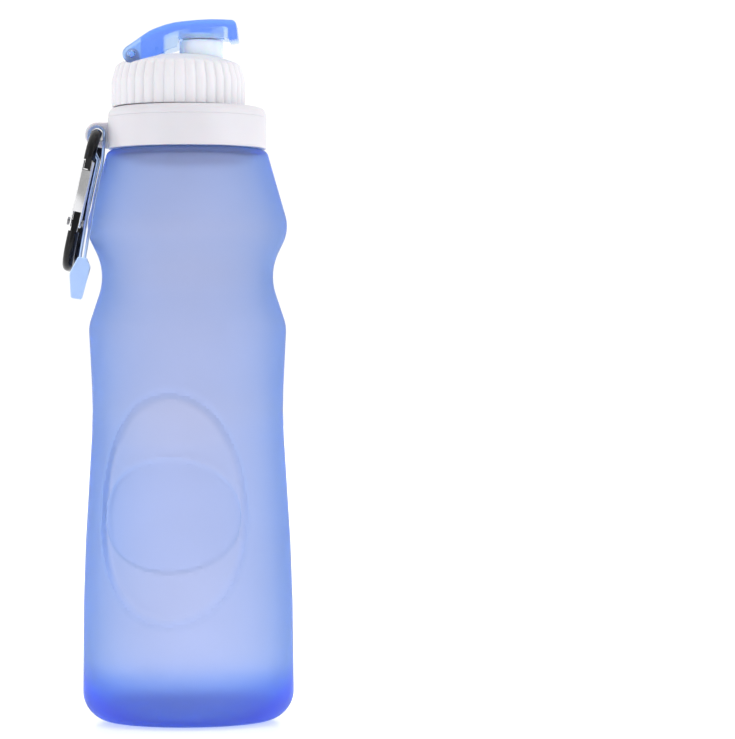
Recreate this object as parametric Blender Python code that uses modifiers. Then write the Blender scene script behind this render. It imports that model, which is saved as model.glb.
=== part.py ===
"""Folding silicone water bottle with a ribbed screw cap, a flip lid and a carabiner.

Metres, +Z up. The origin is the centre of the base. The eyelet, the carabiner and the
strap are on the -X side, and the nozzle leans to +X.
"""
import math

import bmesh
import bpy
from mathutils import Matrix, Vector

MM = 0.001
GAP = 0.3 * MM                  # between pieces that touch

# Soft body
BODY_RADIUS = 35.5 * MM         # at the foot
BODY_HEIGHT = 191.7 * MM        # base to shoulder, under the collar
BODY_WALL = 1.9 * MM
BASE_WALL = 3.0 * MM
FOOT_ROUND = 10.0 * MM
NECK_RADIUS = 23.0 * MM         # outside of the soft neck inside the collar
NECK_LENGTH = 11.3 * MM
SHOULDER_PROUD = 0.05 * MM      # shoulder's corner past the collar
SHOULDER_ROUND = 2.5 * MM

# Corners that the body's side is rounded from: how far each is below the shoulder, and how
# far it stands past the shoulder, or inside the crest above it, or inside the foot
UPPER_CREST_DROP = 26.8 * MM
UPPER_CREST_PROUD = 7.65 * MM
UPPER_CREST_ROUND = 13.0 * MM
FOLD_DROP = 41.3 * MM
FOLD_DEPTH = 7.05 * MM
FOLD_ROUND = 19.0 * MM
LOWER_CREST_DROP = 59.1 * MM
LOWER_CREST_DEPTH = 1.15 * MM
LOWER_CREST_ROUND = 12.0 * MM
GRIP_DROP = 87.7 * MM
GRIP_DEPTH = 3.75 * MM
GRIP_ROUND = 150.0 * MM
HIP_DROP = 141.7 * MM
HIP_DEPTH = 0.5 * MM
HIP_ROUND = 400.0 * MM

# Collar, clamped round the neck
COLLAR_WALL = 3.35 * MM
COLLAR_HEIGHT = 13.9 * MM
COLLAR_LIP = 2.4 * MM           # top ring over the end of the soft neck
COLLAR_ROUND = 2.6 * MM

# Threaded insert inside the neck
INSERT_WALL = 1.6 * MM
INSERT_BELOW = 3.7 * MM         # how far it reaches below the shoulder
INSERT_SUNK = 1.0 * MM          # its top edge below the collar's
THREAD_PITCH = 4.0 * MM
THREAD_TURNS = 1.75
THREAD_WIRE = 0.85 * MM         # radius of the rounded ridge
THREAD_PROUD = 0.8 * MM
THREAD_ROOM = 1.15 * MM         # from the cap's plug to the insert's wall
INSERT_THREAD = 3.0 * MM        # start of the insert's ridge above the insert's foot
PLUG_THREAD = 5.0 * MM          # start of the plug's ridge above the insert's foot

# Screw cap
CAP_PROUD = 4.45 * MM           # dome's radius past the plug's
CAP_OFFSET = -3.0 * MM          # the ribbed dome sits off the thread's axis
CAP_SIDE = 8.7 * MM             # straight part of the dome's side
CAP_HEIGHT = 18.2 * MM          # base to crown
CAP_BROW_IN = 1.6 * MM          # corner between side and crown: in from the side
CAP_BROW_DROP = 3.9 * MM        # and below the crown
CAP_FLAT = 13.0 * MM            # radius where the crown starts to fall
CAP_FLAT_DROP = 1.2 * MM
CAP_RIBS = 38
RIB_DEPTH = 0.55 * MM
RIB_TOP_DROP = 3.0 * MM         # ribs end this far below the crown
PLUG_WALL = 2.4 * MM
PLUG_LENGTH = 15.0 * MM
CAP_CEILING = 7.0 * MM          # inside roof above the cap's base
GASKET_WIDTH = 2.4 * MM

# Drinking nozzle
NOZZLE_ASIDE = 7.8 * MM         # from the dome's centre towards +X
NOZZLE_RADIUS = 7.3 * MM
NOZZLE_BORE = 4.1 * MM
NOZZLE_SEAT = 12.8 * MM         # its ledge above the cap's base
NOZZLE_TOP = 22.4 * MM          # above the cap's base

# Flip lid
LID_WIDTH = 17.0 * MM
LID_ROUND = 0.7 * MM
PIN_INWARD = 7.3 * MM           # pin axis in from the dome's side
PIN_ABOVE = 17.3 * MM           # and above the cap's base
PIN_SHORT = 0.4 * MM            # pin's end inside the lid's side
TAIL_RADIUS = 3.0 * MM
PIN_RADIUS = 1.0 * MM
LUG_WIDTH = 5.6 * MM
LUG_RADIUS = 2.3 * MM
TAIL_SLOPE = math.radians(15.5)
TAIL_RISE = 2.1 * MM            # underside between the slope and the neck
TAIL_RISE_RUN = 3.4 * MM
TAIL_LENGTH = 7.0 * MM          # sloping underside ends this far before the lid's neck
NECK_ROOM = 0.3 * MM            # lid's neck to the nozzle's side
NECK_DROP = 2.9 * MM            # foot of the lid's neck below its flat underside
HEAD_INWARD = 2.1 * MM          # lid's head in from the dome's side
FINGER_LENGTH = 3.4 * MM        # grip under the head
LID_TOP_ABOVE = 29.0 * MM       # lid's crown above the cap's base
SEAL_RADIUS = 6.2 * MM
SEAL_THICKNESS = 1.6 * MM
SEAL_PLUG = 2.6 * MM            # depth that the seal's plug reaches into the bore

# Eyelet on the collar
EYE_OUT = 3.55 * MM             # eye's centre past the collar's side
EYE_ABOVE = 4.9 * MM            # eye's centre above the collar's lower edge
EYE_ROOM = 0.65 * MM            # round the carabiner's bar
EYE_WALL = 1.7 * MM
EYE_WIDTH = 3.0 * MM
EYE_ROUND = 0.6 * MM

# Carabiner, hanging from the eye and leaning out over the bulge
BAR = 1.85 * MM                 # radius of its bar
CARABINER_LENGTH = 45.1 * MM    # between bar centres
CARABINER_WIDTH = 22.0 * MM     # between bar centres
CARABINER_BEND = 8.0 * MM
CARABINER_ROOM = 1.03 * MM      # from the bar to the bulge that it leans out over
TONGUE = 2.1 * MM               # thickness where the gate's cheeks straddle the bar
NOSE_DROP = 9.2 * MM            # where the nose narrows, from the top bar
NOSE_TONGUE = 3.1 * MM
RIVET_DROP = 30.5 * MM
LEG_TOP_DROP = 26.8 * MM        # end of the gate side's lower leg
LEG_FULL_DROP = 33.6 * MM
TONGUE_ROOT = 1.0 * MM          # how far each tongue reaches into the full bar
RIVET_RADIUS = 0.6 * MM
RIVET_INWARD = 0.4 * MM         # from the gate side's centre line towards the spine
RIVET_HEAD = 1.35 * MM
RIVET_HEAD_THICKNESS = 0.6 * MM
CHEEK = 0.5 * MM                # gate sheet thickness
GATE_DEPTH = 3.5 * MM
GATE_FOOT_DROP = 32.2 * MM
WEB_TOP_DROP = 14.4 * MM
WEB_FOOT_DROP = 26.0 * MM
CATCH_RADIUS = 0.4 * MM
SPRING_LEAF = 0.4 * MM

# Strap with its closing tab
STRAP_BAND = 2.0 * MM           # width of the band
STRAP_THICKNESS = 0.9 * MM
STRAP_Y = -3.6 * MM             # where it hangs on the top bar
STRAP_DROP = 42.8 * MM          # top bar to tab
STRAP_UPRIGHT = math.radians(3.0)   # how much less it leans than the carabiner
STRAP_PAST_BAR = 1.15 * MM      # middle of the strands past the bar, on the bottle's side
STRAP_STRAIGHT = 1.6 * MM       # below the bar's axis, where the outer strand turns in under it
STRAP_MEET = 8.6 * MM           # below the bar, where the strands come together
STRAP_SWEEP = math.radians(31.8)   # towards the front, to pass beside the bulge
STRAP_SWEEP_START = 2.5 * MM
STRAP_SWEEP_END = 22.0 * MM     # below the bar, where it hangs straight again
STRAND_SPACING = 1.5 * MM       # between the strands' centres
TAB_LENGTH = 14.0 * MM
TAB_WIDTH = 6.6 * MM
TAB_THICKNESS = 2.2 * MM
TAB_NECK = 0.44                 # shares of the tab's width and length
TAB_LEFT_BULGE = 0.52
TAB_LEFT_DROP = 0.42
TAB_RIGHT_BULGE = 0.48
TAB_RIGHT_DROP = 0.20
TAB_FOOT_LEFT = 0.25
TAB_FOOT_RIGHT = 0.30

ROUND_STEPS = 40
RIB_STEPS = 3                   # facets of each rib
HELIX_STEPS = 24                # points of each turn of thread
OVERRUN = 1.0 * MM              # a tool past the face that it cuts, or into what it joins

# Places that several pieces share
COLLAR_RADIUS = NECK_RADIUS + GAP + COLLAR_WALL
SHOULDER_RADIUS = COLLAR_RADIUS + SHOULDER_PROUD
UPPER_CREST = SHOULDER_RADIUS + UPPER_CREST_PROUD
FOLD_RADIUS = UPPER_CREST - FOLD_DEPTH
LOWER_CREST = UPPER_CREST - LOWER_CREST_DEPTH
COLLAR_FOOT = BODY_HEIGHT + GAP
COLLAR_TOP = COLLAR_FOOT + COLLAR_HEIGHT
NECK_TOP = BODY_HEIGHT + NECK_LENGTH
CAP_FOOT = COLLAR_TOP + GAP
INSERT_RADIUS = NECK_RADIUS - BODY_WALL - GAP
INSERT_BORE = INSERT_RADIUS - INSERT_WALL
PLUG_RADIUS = INSERT_BORE - THREAD_ROOM
PLUG_BORE = PLUG_RADIUS - PLUG_WALL
INSERT_FOOT = BODY_HEIGHT - INSERT_BELOW
INSERT_TOP = COLLAR_TOP - INSERT_SUNK
CAP_RADIUS = PLUG_RADIUS + CAP_PROUD
NOZZLE_X = CAP_OFFSET + NOZZLE_ASIDE
PIN_X = CAP_OFFSET - CAP_RADIUS + PIN_INWARD
PIN_Z = CAP_FOOT + PIN_ABOVE
LID_HEAD_X = CAP_OFFSET + CAP_RADIUS - HEAD_INWARD
LID_UNDER = CAP_FOOT + NOZZLE_TOP + GAP
EYE_X = -COLLAR_RADIUS - EYE_OUT
EYE_Z = COLLAR_FOOT + EYE_ABOVE
EYE_HOLE = BAR + EYE_ROOM
EYE_RADIUS = EYE_HOLE + EYE_WALL
LEAN_RUN = UPPER_CREST + BAR + CARABINER_ROOM + EYE_X
CARABINER_LEAN = math.atan(LEAN_RUN / (EYE_Z - BODY_HEIGHT + UPPER_CREST_DROP))
RIVET_Y = RIVET_INWARD - CARABINER_WIDTH / 2.0
GATE_TOP_DROP = NOSE_DROP + GAP
CATCH_DROP = NOSE_DROP + NOSE_TONGUE + GAP + CATCH_RADIUS
STRAP_LEAN = CARABINER_LEAN - STRAP_UPRIGHT
STRAP_ASIDE = BAR + STRAP_PAST_BAR


def clear_scene():
    for item in list(bpy.data.objects):
        bpy.data.objects.remove(item, do_unlink=True)


def new_collection(name, hidden=False):
    collection = bpy.data.collections.new(name)
    bpy.context.scene.collection.children.link(collection)
    collection.hide_render = hidden
    return collection


def material(name, color, roughness, metallic=0.0):
    made = bpy.data.materials.new(name)
    made.use_nodes = True
    shader = made.node_tree.nodes["Principled BSDF"]
    shader.inputs["Base Color"].default_value = (*color, 1.0)
    shader.inputs["Roughness"].default_value = roughness
    shader.inputs["Metallic"].default_value = metallic
    return made


def rounded(corners, step=math.radians(14.0)):
    """Points of an outline whose corners (a, b, radius) are rounded with arcs."""
    points = []
    for index, (a, b, radius) in enumerate(corners):
        corner = Vector((a, b))
        if radius == 0.0:
            points.append(corner)
            continue
        before = (Vector(corners[index - 1][:2]) - corner).normalized()
        after = (Vector(corners[(index + 1) % len(corners)][:2]) - corner).normalized()
        half = before.angle(after) / 2.0
        centre = corner + (before + after).normalized() * radius / math.sin(half)
        start = corner + before * radius / math.tan(half) - centre
        turn = (math.pi - 2.0 * half) * (1.0 if before.cross(after) < 0.0 else -1.0)
        pieces = max(1, math.ceil(abs(turn) / step))
        for piece in range(pieces + 1):
            arc = start.copy()
            arc.rotate(Matrix.Rotation(turn * piece / pieces, 2))
            points.append(centre + arc)
    return points


def arc_points(centre, radius, start, end, pieces):
    """Points on an arc from one angle to another, both ends included."""
    angles = [start + (end - start) * piece / pieces for piece in range(pieces + 1)]
    return [Vector((centre[0] + radius * math.cos(angle), centre[1] + radius * math.sin(angle)))
            for angle in angles]


def add_mesh(name, mesh, collection, surface=None, smooth=35.0):
    item = bpy.data.objects.new(name, mesh)
    collection.objects.link(item)
    if surface:
        mesh.materials.append(surface)
    mesh.shade_smooth()
    mesh.set_sharp_from_angle(angle=math.radians(smooth))
    return item


def turned(name, profile, collection, surface=None, steps=ROUND_STEPS, closed=False, centre=(0, 0)):
    """A profile of (radius, z) points turned about a vertical axis; its outer side runs downward."""
    mesh = bpy.data.meshes.new(name)
    count = len(profile)
    edges = [(index, index + 1) for index in range(count - 1)]
    if closed:
        edges.append((count - 1, 0))
    mesh.from_pydata([(radius, 0.0, z) for radius, z in profile], edges, [])
    item = bpy.data.objects.new(name, mesh)
    collection.objects.link(item)
    screw = item.modifiers.new("Turn", "SCREW")
    screw.steps = steps
    screw.render_steps = steps
    screw.use_merge_vertices = True
    screw.merge_threshold = 0.00001
    item = applied(item)
    item.data.transform(Matrix.Translation((*centre, 0.0)))
    if surface:
        item.data.materials.append(surface)
    item.data.shade_smooth()
    item.data.set_sharp_from_angle(angle=math.radians(35.0))
    return item


def applied(item):
    """Replace an object's modifiers or curve by the mesh that they make."""
    bpy.context.view_layer.update()
    evaluated = item.evaluated_get(bpy.context.evaluated_depsgraph_get())
    mesh = bpy.data.meshes.new_from_object(evaluated)
    clean = bmesh.new()
    clean.from_mesh(mesh)
    bmesh.ops.remove_doubles(clean, verts=clean.verts, dist=0.00001)
    clean.to_mesh(mesh)
    clean.free()
    made = bpy.data.objects.new(item.name, mesh)
    made.matrix_world = item.matrix_world.copy()
    for collection in item.users_collection:
        collection.objects.link(made)
    name = item.name
    bpy.data.objects.remove(item, do_unlink=True)
    made.name = name
    return made


def plate(name, outline, thickness, collection, surface=None, frame=None, bevel=0.0):
    """A flat outline in the XZ plane, centred on its thickness along Y."""
    curve = bpy.data.curves.new(name, "CURVE")
    curve.dimensions = "2D"
    curve.fill_mode = "BOTH"
    curve.extrude = thickness / 2.0
    spline = curve.splines.new("POLY")
    spline.points.add(len(outline) - 1)
    for point, (x, z) in zip(spline.points, outline):
        point.co = (x, z, 0.0, 1.0)
    spline.use_cyclic_u = True
    item = bpy.data.objects.new(name, curve)
    collection.objects.link(item)
    item = applied(item)
    item.data.transform(Matrix.Rotation(math.pi / 2.0, 4, "X"))
    if bevel:
        round_edges(item, bevel)
        item = applied(item)
    if frame:
        item.matrix_world = frame
    if surface:
        item.data.materials.append(surface)
    item.data.shade_smooth()
    item.data.set_sharp_from_angle(angle=math.radians(35.0))
    return item


def round_edges(item, width, segments=2, angle=40.0):
    bevel = item.modifiers.new("Round", "BEVEL")
    bevel.width = width
    bevel.segments = segments
    bevel.limit_method = "ANGLE"
    bevel.angle_limit = math.radians(angle)


def rod(name, start, end, radius, collection, surface=None, frame=None, steps=24):
    """A round bar between two points."""
    start = Vector(start)
    end = Vector(end)
    along = end - start
    made = bmesh.new()
    place = Matrix.Translation((start + end) / 2.0) @ along.to_track_quat("Z", "Y").to_matrix().to_4x4()
    bmesh.ops.create_cone(made, cap_ends=True, segments=steps, radius1=radius, radius2=radius,
                          depth=along.length, matrix=place)
    mesh = bpy.data.meshes.new(name)
    made.to_mesh(mesh)
    made.free()
    item = add_mesh(name, mesh, collection, surface)
    if frame:
        item.matrix_world = frame
    return item


def block(name, low, high, collection, surface=None, frame=None):
    """A box between two corners."""
    low = Vector(low)
    high = Vector(high)
    made = bmesh.new()
    size = high - low
    place = Matrix.Translation((low + high) / 2.0) @ Matrix.Diagonal((*size, 1.0))
    bmesh.ops.create_cube(made, size=1.0, matrix=place)
    mesh = bpy.data.meshes.new(name)
    made.to_mesh(mesh)
    made.free()
    item = add_mesh(name, mesh, collection, surface)
    if frame:
        item.matrix_world = frame
    return item


def wire(name, points, radius, collection, surface=None, resolution=2):
    """A round wire along points."""
    curve = bpy.data.curves.new(name, "CURVE")
    curve.dimensions = "3D"
    curve.bevel_depth = radius
    curve.bevel_resolution = resolution
    curve.use_fill_caps = True
    spline = curve.splines.new("POLY")
    spline.points.add(len(points) - 1)
    for point, place in zip(spline.points, points):
        point.co = (*place, 1.0)
    item = bpy.data.objects.new(name, curve)
    collection.objects.link(item)
    item = applied(item)
    if surface:
        item.data.materials.append(surface)
    item.data.shade_smooth()
    item.data.set_sharp_from_angle(angle=math.radians(50.0))
    return item


def hang(item, parent):
    """Make an object follow another without moving it now."""
    bpy.context.view_layer.update()
    item.parent = parent
    item.matrix_parent_inverse = parent.matrix_world.inverted()


def pivot(name, place, children, pivots):
    """An empty on a joint's axis, which its pieces follow."""
    empty = bpy.data.objects.new(name, None)
    empty.empty_display_size = 5.0 * MM
    empty.location = place
    pivots.objects.link(empty)
    for child in children:
        hang(child, empty)
    return empty


def combine(item, tool, operation, cutters):
    """Cut or join with a tool, which follows the piece as a hidden guide."""
    for collection in list(tool.users_collection):
        collection.objects.unlink(tool)
    cutters.objects.link(tool)
    hang(tool, item)
    tool.hide_render = True
    tool.display_type = "WIRE"
    boolean = item.modifiers.new(tool.name, "BOOLEAN")
    boolean.operation = operation
    boolean.solver = "EXACT"
    boolean.object = tool


def helix(radius, foot, turns):
    """Points of a thread's ridge about the bottle's axis."""
    points = []
    for index in range(round(turns * HELIX_STEPS) + 1):
        angle = 2.0 * math.pi * index / HELIX_STEPS
        height = foot + THREAD_PITCH * index / HELIX_STEPS
        points.append((radius * math.cos(angle), radius * math.sin(angle), height))
    return points


def body_outline(inset):
    """Side of the soft body from the shoulder down to the foot, moved in by a wall."""
    return [
        (SHOULDER_RADIUS - inset, BODY_HEIGHT - inset, SHOULDER_ROUND - inset / 2.0),
        (UPPER_CREST - inset, BODY_HEIGHT - UPPER_CREST_DROP, UPPER_CREST_ROUND - inset),
        (FOLD_RADIUS - inset, BODY_HEIGHT - FOLD_DROP, FOLD_ROUND + inset),
        (LOWER_CREST - inset, BODY_HEIGHT - LOWER_CREST_DROP, LOWER_CREST_ROUND - inset),
        (BODY_RADIUS - GRIP_DEPTH - inset, BODY_HEIGHT - GRIP_DROP, GRIP_ROUND),
        (BODY_RADIUS - HIP_DEPTH - inset, BODY_HEIGHT - HIP_DROP, HIP_ROUND),
    ]


def make_body(parts, surface):
    """The soft bottle, one wall turned about the axis, open at its neck."""
    bore = NECK_RADIUS - BODY_WALL
    inner = [(bore, NECK_TOP, 0.0), (bore, BODY_HEIGHT - BODY_WALL, 0.0)]
    inner += body_outline(BODY_WALL)
    inner += [(BODY_RADIUS - BODY_WALL, BASE_WALL, FOOT_ROUND - BODY_WALL), (0.0, BASE_WALL, 0.0)]
    outer = [(NECK_RADIUS, NECK_TOP, 0.0), (NECK_RADIUS, BODY_HEIGHT, 0.0)]
    outer += body_outline(0.0)
    outer += [(BODY_RADIUS, 0.0, FOOT_ROUND), (0.0, 0.0, 0.0)]
    profile = list(reversed(rounded(inner, math.radians(45.0)))) + rounded(outer, math.radians(22.0))
    return turned("silicone_body", profile, parts, surface)


def make_collar(parts, cutters, surface):
    """A ring whose top lip covers the soft neck's end, with the carabiner's eyelet on its side."""
    bore = NECK_RADIUS + GAP
    lip = INSERT_RADIUS + GAP
    profile = rounded([
        (bore, COLLAR_FOOT, 0.0),
        (bore, COLLAR_TOP - COLLAR_LIP, 0.0),
        (lip, COLLAR_TOP - COLLAR_LIP, 0.0),
        (lip, COLLAR_TOP, 0.0),
        (COLLAR_RADIUS, COLLAR_TOP, COLLAR_ROUND),
        (COLLAR_RADIUS, COLLAR_FOOT, 0.4 * MM),
    ], step=math.radians(24.0))
    collar = turned("collar", profile, parts, surface, closed=True)
    root_x = -(COLLAR_RADIUS + bore) / 2.0
    eye = [Vector((root_x, COLLAR_FOOT + GAP))]
    eye.append(Vector((root_x, EYE_Z + EYE_RADIUS)))
    eye += arc_points((EYE_X, EYE_Z), EYE_RADIUS, math.radians(90.0), math.radians(235.0), 12)
    eye.append(Vector((-COLLAR_RADIUS - EYE_ROUND, COLLAR_FOOT + GAP)))
    lug = plate("eyelet_lug", eye, EYE_WIDTH, parts, bevel=EYE_ROUND)
    combine(collar, lug, "UNION", cutters)
    hole = rod("eyelet_hole", (EYE_X, -EYE_WIDTH, EYE_Z), (EYE_X, EYE_WIDTH, EYE_Z), EYE_HOLE, parts)
    combine(collar, hole, "DIFFERENCE", cutters)
    return collar


def make_insert(parts, cutters, surface):
    """The hard ring inside the soft neck that the cap screws into."""
    profile = rounded([
        (INSERT_BORE, INSERT_FOOT, 0.4 * MM),
        (INSERT_BORE, INSERT_TOP, 0.3 * MM),
        (INSERT_RADIUS, INSERT_TOP, 0.3 * MM),
        (INSERT_RADIUS, INSERT_FOOT, 0.3 * MM),
    ], step=math.radians(90.0))
    insert = turned("neck_insert", profile, parts, surface, closed=True)
    ridge_radius = INSERT_BORE + THREAD_WIRE - THREAD_PROUD
    ridge_foot = INSERT_FOOT + INSERT_THREAD
    ridge = wire("insert_thread", helix(ridge_radius, ridge_foot, THREAD_TURNS), THREAD_WIRE, parts)
    combine(insert, ridge, "UNION", cutters)
    return insert


def cap_profile():
    """Outside of the dome from the crown down to the base, as (radius, z)."""
    side_top = CAP_FOOT + CAP_SIDE
    crown = CAP_FOOT + CAP_HEIGHT
    return rounded([
        (0.0, crown, 0.0),
        (CAP_FLAT, crown - CAP_FLAT_DROP, 14.0 * MM),
        (CAP_RADIUS - CAP_BROW_IN, crown - CAP_BROW_DROP, 3.0 * MM),
        (CAP_RADIUS, side_top, 5.0 * MM),
        (CAP_RADIUS, CAP_FOOT, 0.0),
        (0.0, CAP_FOOT, 0.0),
    ], step=math.radians(18.0))


def make_cap(parts, cutters, surface):
    """The ribbed dome with its threaded plug, nozzle seat, lid seat and lid lug."""
    steps = CAP_RIBS * RIB_STEPS
    cap = turned("screw_cap", cap_profile(), parts, surface, steps=steps)
    rib_top = CAP_FOOT + CAP_HEIGHT - RIB_TOP_DROP
    for vertex in cap.data.vertices:
        radius = math.hypot(vertex.co.x, vertex.co.y)
        if radius < CAP_RADIUS * 0.6 or vertex.co.z > rib_top:
            continue
        angle = math.atan2(vertex.co.y, vertex.co.x)
        dip = RIB_DEPTH * (1.0 - abs(math.cos(angle * CAP_RIBS / 2.0)))
        vertex.co.x *= (radius - dip) / radius
        vertex.co.y *= (radius - dip) / radius
    cap.data.transform(Matrix.Translation((CAP_OFFSET, 0.0, 0.0)))

    plug = rod("cap_plug", (0, 0, CAP_FOOT - PLUG_LENGTH), (0, 0, CAP_FOOT + OVERRUN), PLUG_RADIUS,
               parts, steps=ROUND_STEPS)
    combine(cap, plug, "UNION", cutters)
    ridge_radius = PLUG_RADIUS - THREAD_WIRE + THREAD_PROUD
    ridge_foot = INSERT_FOOT + PLUG_THREAD
    ridge = wire("plug_thread", helix(ridge_radius, ridge_foot, THREAD_TURNS), THREAD_WIRE, parts)
    combine(cap, ridge, "UNION", cutters)
    ceiling = CAP_FOOT + CAP_CEILING
    bore = rod("plug_bore", (0, 0, CAP_FOOT - PLUG_LENGTH - OVERRUN), (0, 0, ceiling),
               PLUG_BORE, parts, steps=ROUND_STEPS)
    combine(cap, bore, "DIFFERENCE", cutters)

    seat_z = CAP_FOOT + NOZZLE_SEAT
    seat = rod("nozzle_seat", (NOZZLE_X, 0, seat_z), (NOZZLE_X, 0, CAP_FOOT + NOZZLE_TOP),
               NOZZLE_RADIUS + GAP, parts, steps=ROUND_STEPS)
    combine(cap, seat, "DIFFERENCE", cutters)
    passage = rod("nozzle_passage", (NOZZLE_X, 0, ceiling - OVERRUN), (NOZZLE_X, 0, seat_z + OVERRUN),
                  NOZZLE_BORE, parts, steps=32)
    combine(cap, passage, "DIFFERENCE", cutters)
    recess = plate("lid_recess", recess_outline(), 2.0 * CAP_RADIUS, parts)
    combine(cap, recess, "DIFFERENCE", cutters)

    lug = plate("lid_lug", lug_outline(), LUG_WIDTH, parts)
    combine(cap, lug, "UNION", cutters)
    pin_hole = rod("lug_hole", (PIN_X, -LUG_WIDTH, PIN_Z), (PIN_X, LUG_WIDTH, PIN_Z), PIN_RADIUS + GAP, parts)
    combine(cap, pin_hole, "DIFFERENCE", cutters)
    return cap


def tail_line(x, drop=0.0):
    """Height of the lid's sloping underside at x, or of a line this far below it."""
    return PIN_Z + (x - PIN_X) * math.tan(TAIL_SLOPE) - (TAIL_RADIUS + drop) / math.cos(TAIL_SLOPE)


def tail_bend():
    """Where the lid's sloping underside turns up towards its neck."""
    return NOZZLE_X - NOZZLE_RADIUS - NECK_ROOM - TAIL_LENGTH


def recess_outline():
    """The sloping seat that the lid's tail swings over."""
    room = 1.2 * GAP
    radius = TAIL_RADIUS + room
    end_x = tail_bend() + 0.7 * MM
    outline = arc_points((PIN_X, PIN_Z), radius, math.pi, 1.5 * math.pi + TAIL_SLOPE, 8)
    outline.append(Vector((end_x, tail_line(end_x, room))))
    outline.append(Vector((end_x + TAIL_RISE_RUN, tail_line(end_x, room) + TAIL_RISE)))
    outline.append(Vector((end_x + TAIL_RISE_RUN, CAP_FOOT + LID_TOP_ABOVE)))
    outline.append(Vector((PIN_X - radius, CAP_FOOT + LID_TOP_ABOVE)))
    return outline


def lug_outline():
    outline = arc_points((PIN_X, PIN_Z), LUG_RADIUS, 0.0, math.pi, 10)
    outline.append(Vector((PIN_X - LUG_RADIUS, CAP_FOOT + CAP_CEILING)))
    outline.append(Vector((PIN_X + LUG_RADIUS, CAP_FOOT + CAP_CEILING)))
    return outline


def lid_outline():
    """Side view of the lid: round tail, humped back, blunt head and flat underside."""
    top = CAP_FOOT + LID_TOP_ABOVE
    neck_x = NOZZLE_X - NOZZLE_RADIUS - NECK_ROOM
    bend_x = tail_bend()
    tail = arc_points((PIN_X, PIN_Z), TAIL_RADIUS, math.radians(128.0), 1.5 * math.pi + TAIL_SLOPE, 10)
    corners = [(x, z, 0.0) for x, z in tail]
    corners += [
        (bend_x, tail_line(bend_x), 0.0),
        (bend_x + TAIL_RISE_RUN + 0.2 * MM, tail_line(bend_x) + TAIL_RISE + 0.1 * MM, 4.0 * MM),
        (neck_x - 0.2 * MM, LID_UNDER - NECK_DROP, 0.0),
        (neck_x + 0.1 * MM, LID_UNDER, 0.0),
        (LID_HEAD_X - FINGER_LENGTH, LID_UNDER, 1.5 * MM),
        (LID_HEAD_X - FINGER_LENGTH + 0.8 * MM, LID_UNDER - 1.0 * MM, 0.0),
        (LID_HEAD_X, LID_UNDER - 0.6 * MM, 0.4 * MM),
        (LID_HEAD_X - 0.7 * MM, top - 0.5 * MM, 1.7 * MM),
        (NOZZLE_X + 3.7 * MM, top, 60.0 * MM),
        (PIN_X + 12.8 * MM, top - 1.2 * MM, 30.0 * MM),
        (PIN_X + 6.0 * MM, top - 3.6 * MM, 12.0 * MM),
    ]
    return rounded(corners)


def make_lid(parts, cutters, surface):
    """The lever over the nozzle, slotted round the cap's lug at its tail."""
    lid = plate("flip_lid", lid_outline(), LID_WIDTH, parts, surface, bevel=LID_ROUND)
    slot_end = PIN_X + LUG_RADIUS + 3.0 * GAP
    reach = 3.0 * TAIL_RADIUS
    slot = block("lid_slot", (PIN_X - reach, -LUG_WIDTH / 2.0 - GAP, PIN_Z - reach),
                 (slot_end, LUG_WIDTH / 2.0 + GAP, PIN_Z + reach), parts)
    combine(lid, slot, "DIFFERENCE", cutters)
    bore = rod("lid_pin_hole", (PIN_X, -LID_WIDTH, PIN_Z), (PIN_X, LID_WIDTH, PIN_Z), PIN_RADIUS + GAP, parts)
    combine(lid, bore, "DIFFERENCE", cutters)
    recess = rod("seal_recess", (NOZZLE_X, 0, LID_UNDER - OVERRUN),
                 (NOZZLE_X, 0, LID_UNDER + SEAL_THICKNESS + GAP), SEAL_RADIUS + GAP, parts, steps=32)
    combine(lid, recess, "DIFFERENCE", cutters)
    return lid


def make_lid_seal(parts, surface):
    """A pad in the lid's recess with a plug that closes the nozzle's bore."""
    plug = NOZZLE_BORE - GAP
    return turned("lid_seal", rounded([
        (0.0, LID_UNDER + SEAL_THICKNESS, 0.0),
        (SEAL_RADIUS, LID_UNDER + SEAL_THICKNESS, 0.0),
        (SEAL_RADIUS, LID_UNDER, 0.0),
        (plug, LID_UNDER, 0.0),
        (plug, LID_UNDER - SEAL_PLUG, 0.6 * MM),
        (0.0, LID_UNDER - SEAL_PLUG, 0.0),
    ], step=math.radians(90.0)), parts, surface, steps=32, centre=(NOZZLE_X, 0.0))


def make_nozzle(parts, surface):
    foot = CAP_FOOT + NOZZLE_SEAT + GAP
    top = CAP_FOOT + NOZZLE_TOP
    return turned("nozzle", rounded([
        (NOZZLE_BORE, foot, 0.0),
        (NOZZLE_BORE, top, 0.0),
        (NOZZLE_RADIUS, top, 0.5 * MM),
        (NOZZLE_RADIUS, foot, 0.0),
    ], step=math.radians(45.0)), parts, surface, steps=40, closed=True, centre=(NOZZLE_X, 0.0))


def make_gasket(parts, surface):
    """A flat ring round the plug, in the step between the insert's top and the collar's."""
    inner = PLUG_RADIUS + GAP
    return turned("cap_gasket", rounded([
        (inner, INSERT_TOP + GAP, 0.0),
        (inner, COLLAR_TOP, 0.0),
        (inner + GASKET_WIDTH, COLLAR_TOP, 0.0),
        (inner + GASKET_WIDTH, INSERT_TOP + GAP, 0.0),
    ]), parts, surface, closed=True)


def make_lid_pin(parts, surface):
    half = LID_WIDTH / 2.0 - PIN_SHORT
    return rod("lid_pin", (PIN_X, -half, PIN_Z), (PIN_X, half, PIN_Z), PIN_RADIUS, parts, surface)


def carabiner_frame():
    """Its own axes: top bar's centre at the origin, -Z down the carabiner, Y across it."""
    place = Matrix.Translation((EYE_X, 0.0, EYE_Z))
    return place @ Matrix.Rotation(CARABINER_LEAN, 4, "Y")


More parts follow.
